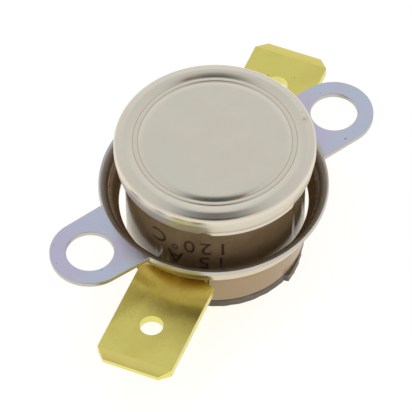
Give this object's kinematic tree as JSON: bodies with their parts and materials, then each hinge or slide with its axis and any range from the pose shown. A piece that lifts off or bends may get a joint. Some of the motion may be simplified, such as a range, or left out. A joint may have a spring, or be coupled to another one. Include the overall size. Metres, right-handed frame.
{
  "type": "safety thermostat",
  "caption": "Round snap-disc safety thermostat: rolled metal sensor cap on a moulded case, flat blade terminals and a loose eared mounting bracket that slides along the case.",
  "frame": {"origin": "on the switch's axis, on the underside of the base cover", "axes": "+Z along the switch's axis towards the sensing face, -Y along the front terminal"},
  "size_m": [0.0191, 0.0348, 0.0124],
  "materials": {
    "satin_steel": "satin",
    "bimetal": "satin",
    "guide_plastic": "moulded",
    "pin_ceramic": "ground",
    "tan_case": "moulded",
    "spring_bronze": "rolled",
    "contact_silver": "satin",
    "terminal_brass": "rolled",
    "rivet_brass": "satin",
    "grey_cover": "moulded",
    "zinc_plate": "passivated zinc"
  },
  "bodies": {
    "switch": {"sensor_cap": "satin_steel", "bimetal_disc": "bimetal", "guide_plate": "guide_plastic", "switch_case": "tan_case", "contact_spring": "spring_bronze", "fixed_contact_bracket": "terminal_brass", "fixed_contact": "contact_silver", "front_terminal": "terminal_brass", "rear_terminal": "terminal_brass", "spring_rivet": "rivet_brass", "fixed_rivet": "rivet_brass", "base_cover": "grey_cover"},
    "plunger": {"push_pin": "pin_ceramic", "moving_contact": "contact_silver"},
    "bracket": {"mounting_bracket": "zinc_plate"}
  },
  "joints": [
    {"name": "bracket_slide", "type": "slide", "parent": "switch", "child": "bracket", "axis": [0, 0, 1], "range_m": [0, 0.0048]},
    {"name": "pin_push", "type": "slide", "parent": "switch", "child": "plunger", "axis": [0, 0, -1], "range_m": [0, 0.0004], "stiffness_N_per_m": 100, "deforming": ["bimetal_disc", "contact_spring"]}
  ]
}
